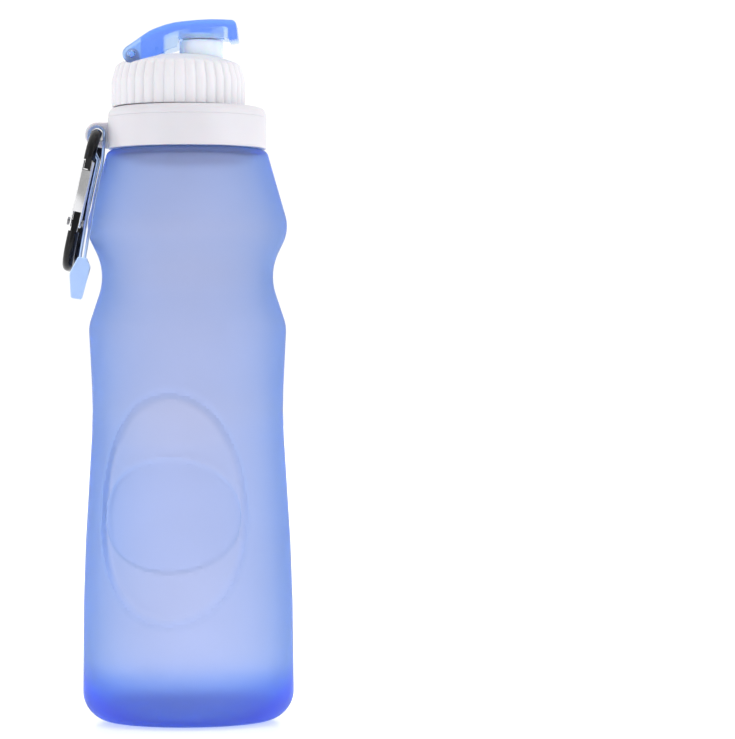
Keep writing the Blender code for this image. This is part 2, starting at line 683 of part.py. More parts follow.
def carabiner_path():
    """Centre line from the nose over the top, down the spine and up to the gate's rivet."""
    half = CARABINER_WIDTH / 2.0
    foot = -CARABINER_LENGTH
    corners = [
        (-half, -NOSE_DROP, 0.0),
        (-half, 0.0, CARABINER_BEND),
        (half, 0.0, CARABINER_BEND),
        (half, foot, CARABINER_BEND),
        (-half, foot, CARABINER_BEND),
        (-half, -LEG_FULL_DROP, 0.0),
    ]
    return [(0.0, y, z) for y, z in rounded(corners, step=math.radians(15.0))]


def make_carabiner(parts, cutters, surface):
    frame = carabiner_frame()
    bar = wire("carabiner_frame", carabiner_path(), BAR, parts, surface, resolution=3)
    bar.matrix_world = frame
    half = CARABINER_WIDTH / 2.0
    outer = -half - GATE_DEPTH / 2.0 + CHEEK + GAP
    inner = -half + BAR
    nose = block("nose_tongue", (-TONGUE / 2.0, outer, -NOSE_DROP - NOSE_TONGUE),
                 (TONGUE / 2.0, inner, -NOSE_DROP + TONGUE_ROOT), parts, frame=frame)
    combine(bar, nose, "UNION", cutters)
    leg = block("leg_tongue", (-TONGUE / 2.0, outer, -LEG_FULL_DROP - TONGUE_ROOT),
                (TONGUE / 2.0, inner, -LEG_TOP_DROP), parts, frame=frame)
    combine(bar, leg, "UNION", cutters)
    hole = rod("leg_hole", (-BAR, RIVET_Y, -RIVET_DROP), (BAR, RIVET_Y, -RIVET_DROP),
               RIVET_RADIUS + GAP, parts, frame=frame, steps=16)
    combine(bar, hole, "DIFFERENCE", cutters)
    return bar


def make_gate(parts, cutters, surface):
    """A stamped channel: two cheeks joined by a web between the nose and the rivet."""
    frame = carabiner_frame()
    half = CARABINER_WIDTH / 2.0
    gate = block("gate", (-BAR, -half - GATE_DEPTH / 2.0, -GATE_FOOT_DROP),
                 (BAR, -half + GATE_DEPTH / 2.0, -GATE_TOP_DROP), parts, surface, frame)
    inside = BAR - CHEEK
    channel = block("gate_channel", (-inside, -half - GATE_DEPTH / 2.0 + CHEEK, -GATE_FOOT_DROP - OVERRUN),
                    (inside, -half + GATE_DEPTH, -GATE_TOP_DROP + OVERRUN), parts, frame=frame)
    combine(gate, channel, "DIFFERENCE", cutters)
    top_window = block("gate_top_window", (-inside, -half - GATE_DEPTH, -WEB_TOP_DROP),
                       (inside, -half, -GATE_TOP_DROP + OVERRUN), parts, frame=frame)
    combine(gate, top_window, "DIFFERENCE", cutters)
    foot_window = block("gate_foot_window", (-inside, -half - GATE_DEPTH, -GATE_FOOT_DROP - OVERRUN),
                        (inside, -half, -WEB_FOOT_DROP), parts, frame=frame)
    combine(gate, foot_window, "DIFFERENCE", cutters)
    for name, y, drop, radius in (("gate_rivet_hole", RIVET_Y, RIVET_DROP, RIVET_RADIUS),
                                  ("gate_catch_hole", -half, CATCH_DROP, CATCH_RADIUS)):
        hole = rod(name, (-2.0 * BAR, y, -drop), (2.0 * BAR, y, -drop), radius + GAP,
                   parts, frame=frame, steps=16)
        combine(gate, hole, "DIFFERENCE", cutters)
    return gate


def make_gate_pieces(parts, cutters, steel):
    """The catch pin that closes on the nose, the rivet that the gate turns on, and its spring."""
    frame = carabiner_frame()
    half = CARABINER_WIDTH / 2.0
    catch = rod("gate_catch_pin", (-BAR, -half, -CATCH_DROP), (BAR, -half, -CATCH_DROP), CATCH_RADIUS,
                parts, steel, frame, steps=12)
    head = BAR + GAP
    core = head + RIVET_HEAD_THICKNESS / 2.0
    rivet = rod("gate_rivet", (-core, RIVET_Y, -RIVET_DROP), (core, RIVET_Y, -RIVET_DROP), RIVET_RADIUS,
                parts, steel, frame, steps=16)
    for side in (-1.0, 1.0):
        cap = rod(f"rivet_head_{'in' if side > 0.0 else 'out'}", (side * head, RIVET_Y, -RIVET_DROP),
                  (side * (head + RIVET_HEAD_THICKNESS), RIVET_Y, -RIVET_DROP), RIVET_HEAD, parts,
                  frame=frame, steps=16)
        combine(rivet, cap, "UNION", cutters)
    web = -half - GATE_DEPTH / 2.0 + CHEEK
    spring = block("gate_spring", (-TONGUE / 2.0 + GAP, web + GAP, -WEB_FOOT_DROP),
                   (TONGUE / 2.0 - GAP, web + GAP + SPRING_LEAF, -WEB_TOP_DROP - GAP), parts, steel, frame)
    return catch, rivet, spring


def strand_side(x, drop, meet):
    """One long edge of the strands, from the bar's side down to the tab."""
    return [Vector((x, -meet)), Vector((x, -STRAP_SWEEP_END)), Vector((x, -drop))]


def make_strap(parts, cutters, surface):
    """A closed band over the top bar, its two strands side by side, ending in a flat tab."""
    frame = Matrix.Translation((EYE_X, STRAP_Y, EYE_Z)) @ Matrix.Rotation(STRAP_LEAN, 4, "Y")
    inner = BAR + GAP
    wide = (STRAND_SPACING + STRAP_THICKNESS) / 2.0
    narrow = (STRAND_SPACING - STRAP_THICKNESS) / 2.0
    outer = inner + STRAP_THICKNESS
    band = arc_points((0.0, 0.0), outer, 0.0, math.pi, 12)
    band.append(Vector((-outer, -STRAP_STRAIGHT)))
    band += strand_side(STRAP_ASIDE - wide, STRAP_DROP, STRAP_MEET)
    band += reversed(strand_side(STRAP_ASIDE + wide, STRAP_DROP, STRAP_MEET))
    strap = plate("strap", band, STRAP_BAND, parts, surface)
    slit_foot = STRAP_DROP - STRAP_THICKNESS
    hole = arc_points((0.0, 0.0), inner, 0.0, math.pi, 12)
    hole.append(Vector((-inner, -STRAP_STRAIGHT)))
    hole += strand_side(STRAP_ASIDE - narrow, slit_foot, STRAP_MEET)
    hole += reversed(strand_side(STRAP_ASIDE + narrow, slit_foot, STRAP_MEET))
    slit = plate("strap_slit", hole, 2.0 * STRAP_BAND, parts)
    combine(strap, slit, "DIFFERENCE", cutters)
    top = -slit_foot
    tab = plate("strap_tab", [
        Vector((STRAP_ASIDE - TAB_WIDTH * TAB_NECK / 2.0, top)),
        Vector((STRAP_ASIDE - TAB_WIDTH * TAB_LEFT_BULGE, top - TAB_LENGTH * TAB_LEFT_DROP)),
        Vector((STRAP_ASIDE - TAB_WIDTH * TAB_FOOT_LEFT, top - TAB_LENGTH)),
        Vector((STRAP_ASIDE + TAB_WIDTH * TAB_FOOT_RIGHT, top - TAB_LENGTH)),
        Vector((STRAP_ASIDE + TAB_WIDTH * TAB_RIGHT_BULGE, top - TAB_LENGTH * TAB_RIGHT_DROP)),
        Vector((STRAP_ASIDE + TAB_WIDTH * TAB_NECK / 2.0, top)),
    ], TAB_THICKNESS, parts, bevel=0.4 * MM)
    combine(strap, tab, "UNION", cutters)
    strap = applied(strap)
    for vertex in strap.data.vertices:
        below = min(max(0.0, -vertex.co.z - STRAP_SWEEP_START), STRAP_SWEEP_END - STRAP_SWEEP_START)
        vertex.co.y -= below * math.tan(STRAP_SWEEP)
    strap.matrix_world = frame
    return strap


def main():
    clear_scene()
    parts = new_collection("folding_water_bottle")
    cutters = new_collection("cutters", hidden=True)
    pivots = new_collection("pivots")

    silicone = material("body_silicone", (0.30, 0.42, 0.83), 0.38)
    collar_plastic = material("collar_plastic", (0.86, 0.86, 0.90), 0.35)
    insert_plastic = material("insert_plastic", (0.84, 0.84, 0.88), 0.40)
    cap_plastic = material("cap_plastic", (0.86, 0.86, 0.90), 0.38)
    gasket_silicone = material("gasket_silicone", (0.80, 0.82, 0.88), 0.50)
    nozzle_silicone = material("nozzle_silicone", (0.78, 0.78, 0.92), 0.35)
    lid_plastic = material("lid_plastic", (0.13, 0.30, 0.95), 0.25)
    seal_silicone = material("seal_silicone", (0.78, 0.80, 0.90), 0.50)
    pin_plastic = material("pin_plastic", (0.13, 0.30, 0.95), 0.30)
    anodised = material("carabiner_anodised", (0.015, 0.015, 0.02), 0.25, 0.9)
    steel = material("gate_steel", (0.62, 0.62, 0.64), 0.22, 1.0)
    strap_silicone = material("strap_silicone", (0.45, 0.56, 0.88), 0.40)

    make_body(parts, silicone)
    make_collar(parts, cutters, collar_plastic)
    make_insert(parts, cutters, insert_plastic)
    gasket = make_gasket(parts, gasket_silicone)
    cap = make_cap(parts, cutters, cap_plastic)
    nozzle = make_nozzle(parts, nozzle_silicone)
    lid = make_lid(parts, cutters, lid_plastic)
    seal = make_lid_seal(parts, seal_silicone)
    pin = make_lid_pin(parts, pin_plastic)
    bar = make_carabiner(parts, cutters, anodised)
    gate = make_gate(parts, cutters, steel)
    catch, rivet, spring = make_gate_pieces(parts, cutters, steel)
    strap = make_strap(parts, cutters, strap_silicone)

    eye = (EYE_X, 0.0, EYE_Z)
    rivet_place = carabiner_frame() @ Vector((0.0, RIVET_Y, -RIVET_DROP))
    cap_axis = pivot("cap_axis", (0.0, 0.0, CAP_FOOT), (gasket, cap, nozzle, pin), pivots)
    lid_axis = pivot("lid_axis", (PIN_X, 0.0, PIN_Z), (lid, seal), pivots)
    carabiner_axis = pivot("carabiner_axis", eye, (bar, rivet), pivots)
    gate_axis = pivot("gate_axis", rivet_place, (gate, catch, spring), pivots)
    strap_axis = pivot("strap_axis", eye, (strap,), pivots)
    hang(lid_axis, cap_axis)
    hang(gate_axis, carabiner_axis)
    hang(strap_axis, carabiner_axis)


main()
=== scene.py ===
import math

import bmesh
import bpy
from mathutils import Matrix, Vector


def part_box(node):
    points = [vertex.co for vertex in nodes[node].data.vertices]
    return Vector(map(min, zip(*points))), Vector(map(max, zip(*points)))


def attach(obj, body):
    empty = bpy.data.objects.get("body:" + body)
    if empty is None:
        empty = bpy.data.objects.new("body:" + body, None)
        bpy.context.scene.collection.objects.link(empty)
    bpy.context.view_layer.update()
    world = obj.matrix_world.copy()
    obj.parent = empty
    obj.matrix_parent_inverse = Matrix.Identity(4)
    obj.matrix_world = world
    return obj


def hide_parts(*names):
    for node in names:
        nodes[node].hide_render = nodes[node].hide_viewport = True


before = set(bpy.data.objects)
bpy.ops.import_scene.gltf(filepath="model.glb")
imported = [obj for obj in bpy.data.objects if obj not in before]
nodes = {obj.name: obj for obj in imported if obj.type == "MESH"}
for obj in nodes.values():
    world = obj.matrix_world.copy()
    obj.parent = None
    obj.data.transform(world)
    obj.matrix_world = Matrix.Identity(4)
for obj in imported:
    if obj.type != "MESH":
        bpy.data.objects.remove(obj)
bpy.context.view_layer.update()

MM = 0.001
pieces = bpy.data.collections.new("looks")
bpy.context.scene.collection.children.link(pieces)

# ---------------------------------------------------------------- sizes, from the frame
body_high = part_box("silicone_body")[1]
collar_low, collar_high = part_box("collar")
cap_low, cap_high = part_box("screw_cap")
nozzle_low, nozzle_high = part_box("nozzle")
lid_low, lid_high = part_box("flip_lid")
pin_low, pin_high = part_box("lid_pin")
gasket_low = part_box("cap_gasket")[0]
seal_low, seal_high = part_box("lid_seal")

GAP = 0.3 * MM                  # between pieces that touch, as in the CAD
SHOULDER_Z = collar_low.z - GAP

# Soft body
NECK_RADIUS = 23.0 * MM
SHOULDER_RADIUS = 26.7 * MM
SHOULDER_ROUND = 2.5 * MM
BODY_RADIUS = 35.5 * MM
BODY_WALL = 1.9 * MM
FOOT_ROUND = 10.0 * MM
FOOT_WALL = 3.1 * MM            # floor's thickness at its edge
FOOT_INNER_ROUND = 19.0 * MM
FLOOR_DISH = 0.8 * MM           # how much thinner the floor is in the middle
# The side's other corners: radius, drop below the shoulder, the radius that rounds the corner,
# and how that radius changes from the outer face of the wall to the inner one
BODY_CORNERS = [
    (34.35 * MM, 26.8 * MM, 13.0 * MM, -1.0),
    (27.3 * MM, 41.3 * MM, 19.0 * MM, 1.0),
    (33.2 * MM, 59.1 * MM, 12.0 * MM, -1.0),
    (31.75 * MM, 87.7 * MM, 150.0 * MM, 0.0),
    (35.0 * MM, 141.7 * MM, 400.0 * MM, 0.0),
]

# Moulded ovals on the front, each by the height of its middle, half width and half height
PANEL_TURN = math.radians(-8.0)     # the panel's middle, from the front towards +X
PANEL_OUTER = (72.0 * MM, 28.0 * MM, 38.0 * MM)
PANEL_INNER = (70.0 * MM, 26.0 * MM, 18.5 * MM)
PANEL_HALF_TURN = math.radians(75.0)
PANEL_TOP = 120.0 * MM          # above this and inside the next radius nothing is moved
PANEL_RADIUS = 30.5 * MM
LIP = 0.75 * MM                 # soft ridge along the outer oval
LIP_WIDTH = 1.2 * MM
DISH = 0.95 * MM                # band between the ovals
DISH_EDGE = 2.0 * MM
PAD = 0.5 * MM                  # raised inside the inner oval
PAD_EDGE = 0.8 * MM
INSIDE_SHARE = 0.45             # how far the wall's inner face follows the outer one
SIDE_LEAN = 0.06                # inward lean of the wall's middle above the hip

# Collar and nozzle
COLLAR_WALL = 3.35 * MM
COLLAR_LIP = 2.4 * MM           # thickness of the top ring, and its reach over the neck's end
COLLAR_LIP_REACH = 2.2 * MM
COLLAR_ROUND = 2.5 * MM
SEAM_DROP = 3.3 * MM            # thin seam line below the collar's top
SEAM_DEPTH = 0.22 * MM
SEAM_HALF = 0.12 * MM
EYE = Vector((-30.2 * MM, 0.0, collar_low.z + 4.9 * MM))
EYE_RADIUS = 4.2 * MM
EYE_HOLE = 2.5 * MM
EYE_WIDTH = 3.0 * MM
EYE_ROUND = 0.6 * MM
NOZZLE_X = (nozzle_low.x + nozzle_high.x) / 2.0
NOZZLE_RADIUS = (nozzle_high.x - nozzle_low.x) / 2.0
NOZZLE_BORE = 4.1 * MM

# Screw cap
CAP_FOOT = collar_high.z + GAP
CAP_RADIUS = (cap_high.x - cap_low.x) / 2.0
CAP_X = (cap_high.x + cap_low.x) / 2.0
CAP_CROWN = CAP_FOOT + 18.2 * MM
CAP_SIDE = 8.7 * MM             # height of the straight ribbed side
CAP_FLAT = 13.0 * MM            # crown's corner, and its drop
CAP_FLAT_DROP = 1.2 * MM
CAP_BROW_IN = 1.6 * MM          # brow's corner, in from the side and down from the crown
CAP_BROW_DROP = 3.9 * MM
CAP_BORE = 17.0 * MM
CAP_CEILING = 7.0 * MM          # bore's end above the cap's foot
CAP_RIBS = 38
RIB_DEPTH = 0.7 * MM
RIB_TOP_DROP = 2.6 * MM         # ribs end this far below the crown, and fade over the next length
RIB_FADE = 1.2 * MM
PLUG_LENGTH = 15.0 * MM
PLUG_WALL = 2.4 * MM
THREAD_WIRE = 0.85 * MM         # radius of the rounded ridge
THREAD_PROUD = 0.8 * MM
THREAD_PITCH = 4.0 * MM
THREAD_TURNS = 1.75
THREAD_FOOT = 1.3 * MM          # ridge's start above the shoulder

# Flip lid and its pin
LID_WIDTH = lid_high.y - lid_low.y
LID_TOP = CAP_FOOT + 29.0 * MM
LID_UNDER = nozzle_high.z + GAP
LID_HEAD_X = 17.4 * MM
LID_WALL = 1.7 * MM
PIN_X = (pin_low.x + pin_high.x) / 2.0
PIN_Z = (pin_low.z + pin_high.z) / 2.0
PIN_HOLE = 1.3 * MM
TAIL_RADIUS = 3.0 * MM
TAIL_SLOPE = math.radians(15.5)
LUG_RADIUS = 2.3 * MM
LUG_WIDTH = 5.6 * MM
SEAL_RADIUS = (seal_high.x - seal_low.x) / 2.0

# Carabiner, from its top bar's centre at the origin, down -Z, with Y across it
BAR = 1.85 * MM
HALF = 11.0 * MM                # from the carabiner's middle to each side's centre line
CARABINER_LEAN = math.atan(7.03 / 32.0)
CARABINER_DROP = 45.1 * MM
CARABINER_BEND = 8.0 * MM
NOSE_END = 9.2 * MM             # drops of the open bar's two ends
LEG_END = 33.6 * MM
TONGUE_HALF = 1.05 * MM
CHEEK = 0.5 * MM                # sheet of the gate
GATE_OUT = HALF + 1.75 * MM     # outer face of the gate
GATE_TOP = 9.5 * MM             # drops of the gate's ends, and of the ends of its web
GATE_FOOT = 32.2 * MM
WEB_TOP = 12.9 * MM
WEB_FOOT = 27.0 * MM

# Strap, in the same axes turned by its own lean
STRAP_LEAN = CARABINER_LEAN - math.radians(3.0)
STRAP_Y = -3.6 * MM
STRAP_BAND = 2.0 * MM
STRAP_THICKNESS = 0.9 * MM
STRAP_ASIDE = 3.0 * MM          # middle of the strands, past the top bar
STRAND_HALF_SPACE = 0.75 * MM
STRAP_DROP = 42.6 * MM
STRAP_MEET = 8.6 * MM           # drop at which the strands come together
STRAP_STRAIGHT = 1.6 * MM
STRAP_SWEEP = math.radians(31.8)    # towards the front, to pass beside the bulge
STRAP_SWEEP_START = 2.5 * MM
STRAP_SWEEP_LENGTH = 19.5 * MM
TAB_LENGTH = 14.0 * MM
TAB_WIDTH = 6.6 * MM
TAB_THICKNESS = 2.2 * MM


# ---------------------------------------------------------------- mesh helpers
def arc_points(centre, radius, start, end, count):
    steps = [start + (end - start) * index / count for index in range(count + 1)]
    return [Vector((centre[0] + radius * math.cos(a), centre[1] + radius * math.sin(a))) for a in steps]


def rounded(corners, step=math.radians(6.0)):
    """Points of an outline whose corners (a, b, radius) are rounded with arcs."""
    points = []
    for index, (a, b, radius) in enumerate(corners):
        corner = Vector((a, b))
        if radius == 0.0:
            points.append(corner)
            continue
        before = (Vector(corners[index - 1][:2]) - corner).normalized()
        after = (Vector(corners[(index + 1) % len(corners)][:2]) - corner).normalized()
        half = before.angle(after) / 2.0
        centre = corner + (before + after).normalized() * radius / math.sin(half)
        start = corner + before * radius / math.tan(half) - centre
        turn = (math.pi - 2.0 * half) * (1.0 if before.cross(after) < 0.0 else -1.0)
        count = max(1, math.ceil(abs(turn) / step))
        for piece in range(count + 1):
            arc = start.copy()
            arc.rotate(Matrix.Rotation(turn * piece / count, 2))
            points.append(centre + arc)
    return points


def resampled(points, spacing):
    """The same outline with no stretch longer than spacing."""
    result = [points[0]]
    for before, after in zip(points, points[1:]):
        count = max(1, math.ceil((after - before).length / spacing))
        result += [before.lerp(after, index / count) for index in range(1, count + 1)]
    return result


def finish_mesh(name, made, smooth=35.0, place=None):
    """Turn what bmesh made into an object, with sharp edges past an angle."""
    mesh = bpy.data.meshes.new(name)
    made.to_mesh(mesh)
    made.free()
    if place:
        mesh.transform(place)
    mesh.shade_smooth()
    mesh.set_sharp_from_angle(angle=math.radians(smooth))
    item = bpy.data.objects.new(name, mesh)
    pieces.objects.link(item)
    return item


def turned(name, profile, steps, closed=False, move=None, centre=(0.0, 0.0)):
    """Turn (radius, z) points about a vertical axis; move(x, y, z) may shift each point."""
    made = bmesh.new()
    rings = []
    for radius, z in profile:
        if radius < 1e-6:
            rings.append([made.verts.new((0.0, 0.0, z))])
            continue
        ring = []
        for index in range(steps):
            angle = 2.0 * math.pi * index / steps
            place = Vector((radius * math.cos(angle), radius * math.sin(angle), z))
            ring.append(made.verts.new(move(place) if move else place))
        rings.append(ring)
    pairs = list(zip(rings, rings[1:]))
    if closed:
        pairs.append((rings[-1], rings[0]))
    for upper, lower in pairs:
        for index in range(steps):
            after = (index + 1) % steps
            corners = [upper[index % len(upper)], lower[index % len(lower)],
                       lower[after % len(lower)], upper[after % len(upper)]]
            made.faces.new(list(dict.fromkeys(corners)))
    bmesh.ops.recalc_face_normals(made, faces=made.faces)
    return finish_mesh(name, made, place=Matrix.Translation((*centre, 0.0)))


def plate(name, outline, thickness, bevel=0.0, segments=4, angle=40.0):
    """A flat outline in the XZ plane, centred on its thickness along Y."""
    made = bmesh.new()
    front = [made.verts.new((x, -thickness / 2.0, z)) for x, z in outline]
    face = made.faces.new(front)
    result = bmesh.ops.extrude_face_region(made, geom=[face])
    moved = [item for item in result["geom"] if isinstance(item, bmesh.types.BMVert)]
    bmesh.ops.translate(made, verts=moved, vec=(0.0, thickness, 0.0))
    bmesh.ops.recalc_face_normals(made, faces=made.faces)
    item = finish_mesh(name, made)
    if bevel:
        soften(item, bevel, segments, angle)
    return item


def rod(name, start, end, radius, steps=48):
    start = Vector(start)
    end = Vector(end)
    along = end - start
    made = bmesh.new()
    place = Matrix.Translation((start + end) / 2.0) @ along.to_track_quat("Z", "Y").to_matrix().to_4x4()
    bmesh.ops.create_cone(made, cap_ends=True, segments=steps, radius1=radius, radius2=radius,
                          depth=along.length, matrix=place)
    return finish_mesh(name, made)


def block(name, low, high):
    low = Vector(low)
    high = Vector(high)
    made = bmesh.new()
    place = Matrix.Translation((low + high) / 2.0) @ Matrix.Diagonal((*(high - low), 1.0))
    bmesh.ops.create_cube(made, size=1.0, matrix=place)
    return finish_mesh(name, made)


def apply_modifiers(item, smooth=35.0):
    bpy.context.view_layer.update()
    evaluated = item.evaluated_get(bpy.context.evaluated_depsgraph_get())
    mesh = bpy.data.meshes.new_from_object(evaluated)
    item.modifiers.clear()
    item.data = mesh
    mesh.shade_smooth()
    mesh.set_sharp_from_angle(angle=math.radians(smooth))


def combine(item, tool, operation):
    """Cut or join with a tool, which is then removed."""
    boolean = item.modifiers.new("Combine", "BOOLEAN")
    boolean.operation = operation
    boolean.solver = "EXACT"
    boolean.object = tool
    apply_modifiers(item)
    bpy.data.objects.remove(tool, do_unlink=True)


def soften(item, width, segments=3, angle=30.0):
    """Round the edges of a finished solid."""
    rounder = item.modifiers.new("Round", "BEVEL")
    rounder.width = width
    rounder.segments = segments
    rounder.limit_method = "ANGLE"
    rounder.angle_limit = math.radians(angle)
    apply_modifiers(item)


def swept(name, path, section, across):
    """Sweep a closed section, given as (side, out) points, along a path of places."""
    made = bmesh.new()
    rings = []
    count = len(path)
    for index, place in enumerate(path):
        along = (path[min(index + 1, count - 1)] - path[max(index - 1, 0)]).normalized()
        side = (across - along * across.dot(along)).normalized()
        out = along.cross(side)
        rings.append([made.verts.new(place + side * a + out * b) for a, b in section])
    for upper, lower in zip(rings, rings[1:]):
        for index in range(len(section)):
            after = (index + 1) % len(section)
            made.faces.new((upper[index], lower[index], lower[after], upper[after]))
    made.faces.new(rings[0])
    made.faces.new(list(reversed(rings[-1])))
    bmesh.ops.recalc_face_normals(made, faces=made.faces)
    return finish_mesh(name, made, smooth=50.0)


def circle(radius, steps):
    """A round section for swept()."""
    turns = [2.0 * math.pi * index / steps for index in range(steps)]
    return [(radius * math.cos(turn), radius * math.sin(turn)) for turn in turns]


def smoothstep(value, low, high):
    t = min(1.0, max(0.0, (value - low) / (high - low)))
    return t * t * (3.0 - 2.0 * t)


# ---------------------------------------------------------------- materials
class Surface:
    """A material whose colour, roughness and bump come from noise at a real scale."""

    def __init__(self, name, color, roughness, **settings):
        self.material = bpy.data.materials.new(name)
        self.material.use_nodes = True
        self.tree = self.material.node_tree
        self.shader = self.tree.nodes["Principled BSDF"]
        self.shader.inputs["Base Color"].default_value = (*color, 1.0)
        self.shader.inputs["Roughness"].default_value = roughness
        for socket, value in settings.items():
            self.shader.inputs[socket.replace("_", " ")].default_value = value
        self.color = color
        self.roughness = roughness
        coordinates = self.tree.nodes.new("ShaderNodeTexCoord")
        self.place = coordinates.outputs["Object"]

    def noise(self, scale, detail=3.0, stretch=(1.0, 1.0, 1.0)):
        mapping = self.tree.nodes.new("ShaderNodeMapping")
        mapping.inputs["Scale"].default_value = stretch
        self.tree.links.new(self.place, mapping.inputs["Vector"])
        texture = self.tree.nodes.new("ShaderNodeTexNoise")
        texture.inputs["Scale"].default_value = scale
        texture.inputs["Detail"].default_value = detail
        self.tree.links.new(mapping.outputs["Vector"], texture.inputs["Vector"])
        return texture.outputs["Fac"]

    def ramp(self, source, stops):
        ramp = self.tree.nodes.new("ShaderNodeValToRGB")
        elements = ramp.color_ramp.elements
        while len(elements) < len(stops):
            elements.new(0.5)
        for element, (position, color) in zip(elements, stops):
            element.position = position
            element.color = (*color, 1.0)
        self.tree.links.new(source, ramp.inputs["Fac"])
        return ramp.outputs["Color"]

    def mottled(self, scale, spread):
        """Colour that drifts a little lighter and darker."""
        dark = tuple(channel * (1.0 - spread) for channel in self.color)
        light = tuple(min(1.0, channel * (1.0 + spread)) for channel in self.color)
        source = self.ramp(self.noise(scale), [(0.35, dark), (0.65, light)])
        self.tree.links.new(source, self.shader.inputs["Base Color"])
        return self

    def uneven(self, scale, spread, stretch=(1.0, 1.0, 1.0)):
        """Roughness that varies over the surface."""
        reach = self.tree.nodes.new("ShaderNodeMapRange")
        reach.inputs["To Min"].default_value = max(0.02, self.roughness - spread)
        reach.inputs["To Max"].default_value = self.roughness + spread
        self.tree.links.new(self.noise(scale, 4.0, stretch), reach.inputs["Value"])
        self.tree.links.new(reach.outputs["Result"], self.shader.inputs["Roughness"])
        return self

    def bumped(self, scale, depth, strength=0.5, stretch=(1.0, 1.0, 1.0)):
        bump = self.tree.nodes.new("ShaderNodeBump")
        bump.inputs["Distance"].default_value = depth
        bump.inputs["Strength"].default_value = strength
        self.tree.links.new(self.noise(scale, 4.0, stretch), bump.inputs["Height"])
        self.tree.links.new(bump.outputs["Normal"], self.shader.inputs["Normal"])
        return self

    def absorbing(self, color, density):
        """Colour deepens with the thickness that light passes through."""
        volume = self.tree.nodes.new("ShaderNodeVolumeAbsorption")
        volume.inputs["Color"].default_value = (*color, 1.0)
        volume.inputs["Density"].default_value = density
        output = self.tree.nodes["Material Output"]
        self.tree.links.new(volume.outputs["Volume"], output.inputs["Volume"])
        return self


def paint(item, surface):
    """Give every slot of an object this surface."""
    if not item.material_slots:
        item.data.materials.append(surface.material)
    for place in item.material_slots:
        place.material = surface.material


def show(piece, surface, body, node):
    """Paint a finer piece, stand it for its CAD node and let it move with a body."""
    paint(piece, surface)
    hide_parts(node)
    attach(piece, body)


body_silicone = Surface("frosted_silicone", (0.86, 0.775, 0.84), 0.42, Transmission_Weight=0.92, IOR=1.12,
                        Coat_Weight=1.0, Coat_IOR=1.04, Coat_Roughness=0.4, Coat_Tint=(0.92, 0.97, 1.0, 1.0))
body_silicone.mottled(28.0, 0.02).uneven(60.0, 0.04).bumped(900.0, 0.00006, 0.3)
body_silicone.absorbing((0.0, 0.47, 1.0), 105.0)

white_plastic = Surface("white_plastic", (0.64, 0.625, 0.665), 0.36, IOR=1.49, Subsurface_Weight=0.15,
                        Subsurface_Scale=0.002)
white_plastic.mottled(60.0, 0.015).uneven(220.0, 0.06).bumped(1400.0, 0.00004, 0.3)

cap_plastic = Surface("cap_plastic", (0.71, 0.70, 0.735), 0.40, IOR=1.49, Subsurface_Weight=0.15,
                      Subsurface_Scale=0.002)
cap_plastic.mottled(60.0, 0.015).uneven(220.0, 0.06).bumped(1400.0, 0.00004, 0.3)

milky_silicone = Surface("milky_silicone", (0.83, 0.85, 0.95), 0.38, IOR=1.41, Subsurface_Weight=0.6,
                         Subsurface_Scale=0.004)
milky_silicone.mottled(120.0, 0.015).uneven(200.0, 0.05).bumped(1200.0, 0.00004, 0.3)

lid_plastic = Surface("lid_plastic", (0.97, 0.98, 1.0), 0.3, Transmission_Weight=0.9, IOR=1.12,
                      Coat_Weight=0.3, Coat_IOR=1.49, Coat_Roughness=0.2)
lid_plastic.mottled(90.0, 0.03).uneven(180.0, 0.05).bumped(1000.0, 0.00003, 0.25)
lid_plastic.absorbing((0.0, 0.50, 1.0), 165.0)

pin_plastic = Surface("pin_plastic", (0.24, 0.44, 1.0), 0.3, IOR=1.49, Subsurface_Weight=0.5,
                      Subsurface_Scale=0.002)
pin_plastic.mottled(300.0, 0.06).uneven(400.0, 0.06)

anodised = Surface("black_anodised", (0.004, 0.004, 0.005), 0.2, IOR=1.4, Specular_IOR_Level=0.35)
anodised.mottled(400.0, 0.3).uneven(500.0, 0.07).bumped(2500.0, 0.00002, 0.25)

steel = Surface("gate_steel", (0.70, 0.70, 0.71), 0.16, Metallic=1.0)
steel.mottled(300.0, 0.05).uneven(260.0, 0.06, (6.0, 6.0, 0.6)).bumped(1500.0, 0.00001, 0.2, (6.0, 6.0, 0.4))

rivet_steel = Surface("rivet_steel", (0.22, 0.22, 0.23), 0.28, Metallic=1.0)
rivet_steel.mottled(500.0, 0.1).uneven(500.0, 0.08)

strap_silicone = Surface("strap_silicone", (0.97, 0.96, 0.98), 0.34, Transmission_Weight=0.9, IOR=1.15,
                         Coat_Weight=0.25, Coat_IOR=1.41, Coat_Roughness=0.3)
strap_silicone.mottled(150.0, 0.03).uneven(240.0, 0.05).bumped(1500.0, 0.00003, 0.3)
strap_silicone.absorbing((0.0, 0.45, 0.98), 420.0)


# ---------------------------------------------------------------- silicone body
def body_side(inset):
    """Shoulder to hip, moved in by a wall: corners and the radius that rounds each."""
    corners = [(SHOULDER_RADIUS - inset, SHOULDER_Z - inset, SHOULDER_ROUND - inset / 2.0)]
    for radius, drop, rounding, change in BODY_CORNERS:
        corners.append((radius - inset, SHOULDER_Z - drop, rounding + change * inset))
    return corners


def oval_distance(across, z, oval):
    """About how far outside an oval a point lies, and negative inside it."""
    middle, half_width, half_height = oval
    a = across / half_width
    b = (z - middle) / half_height
    reach = math.hypot(a, b)
    slope = math.hypot(a / half_width, b / half_height) / max(reach, 1e-6)
    return (reach - 1.0) / max(slope, 1e-6)


